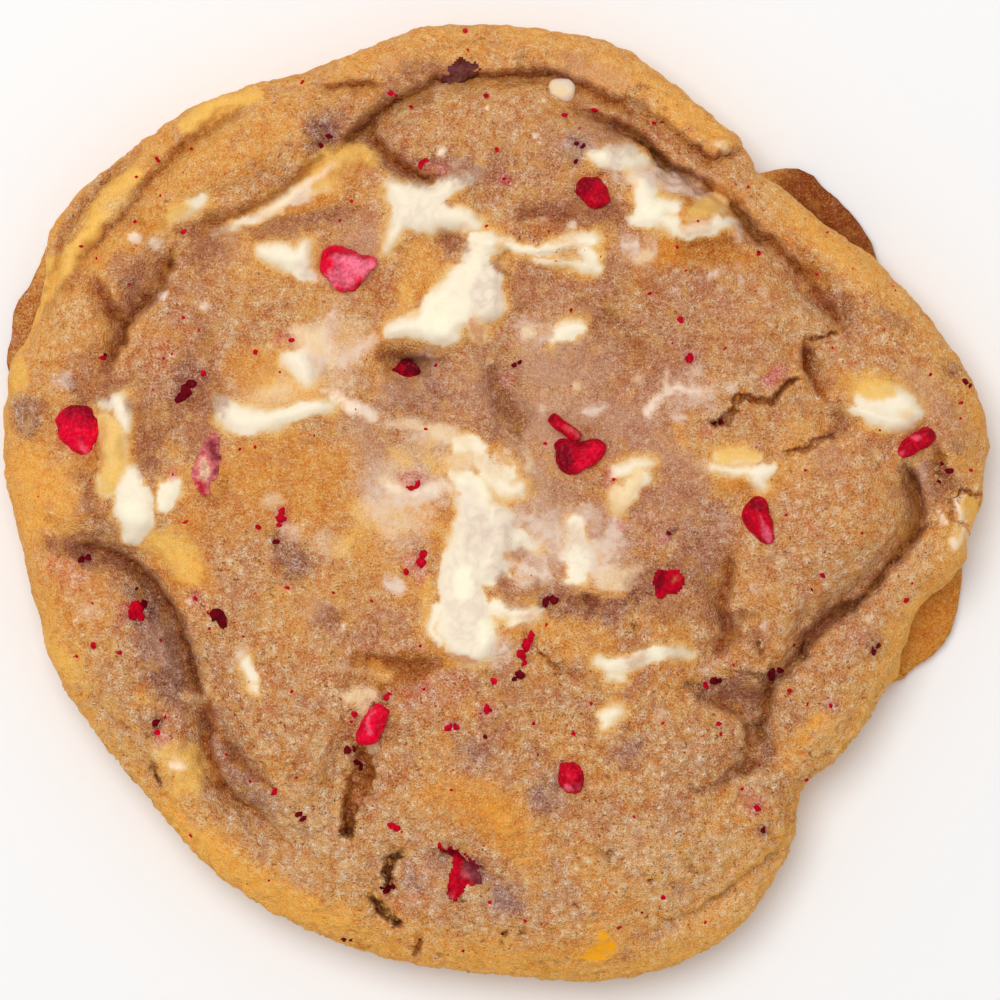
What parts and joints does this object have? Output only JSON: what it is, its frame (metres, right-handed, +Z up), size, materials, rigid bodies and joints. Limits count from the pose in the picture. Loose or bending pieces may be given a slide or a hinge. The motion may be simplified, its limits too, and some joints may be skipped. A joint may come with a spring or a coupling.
{
  "type": "white chocolate raspberry cookie",
  "caption": "Thick soft-baked round cookie with a folded, uneven top, melted white chocolate pieces and crimson raspberry lumps set into pale golden dough.",
  "frame": {"origin": "middle of the flat underside, at the centre of the object's box", "axes": "+Z up out of the top, +X to the right and +Y away from the viewer as seen from above with the browned foot showing at the right"},
  "size_m": [0.1082, 0.105, 0.0168],
  "materials": {
    "dough": "matte, fine-crumbed baked dough",
    "white_chocolate": "satin, melted and set",
    "raspberry": "matte, granular freeze-dried fruit"
  },
  "bodies": {
    "root": {"dough": "dough", "raspberry_01": "raspberry", "raspberry_02": "raspberry", "raspberry_03": "raspberry", "raspberry_04": "raspberry", "raspberry_05": "raspberry", "raspberry_06": "raspberry", "raspberry_07": "raspberry", "raspberry_08": "raspberry", "raspberry_09": "raspberry", "raspberry_10": "raspberry", "raspberry_11": "raspberry", "raspberry_12": "raspberry", "raspberry_13": "raspberry", "raspberry_14": "raspberry", "white_chip_left": "white_chocolate", "white_chip_middle": "white_chocolate", "white_chip_rim": "white_chocolate", "white_chocolate_centre": "white_chocolate", "white_chocolate_inner_left": "white_chocolate", "white_chocolate_inner_left_block": "white_chocolate", "white_chocolate_left_lower": "white_chocolate", "white_chocolate_left_of_middle": "white_chocolate", "white_chocolate_left_upper": "white_chocolate", "white_chocolate_middle": "white_chocolate", "white_chocolate_ribbon": "white_chocolate", "white_chocolate_right": "white_chocolate", "white_chocolate_right_fold": "white_chocolate", "white_chocolate_rim_right": "white_chocolate", "white_chocolate_sheet": "white_chocolate", "white_chocolate_top_right": "white_chocolate", "white_chocolate_upper_left": "white_chocolate", "white_chocolate_upper_right": "white_chocolate"}
  },
  "joints": []
}
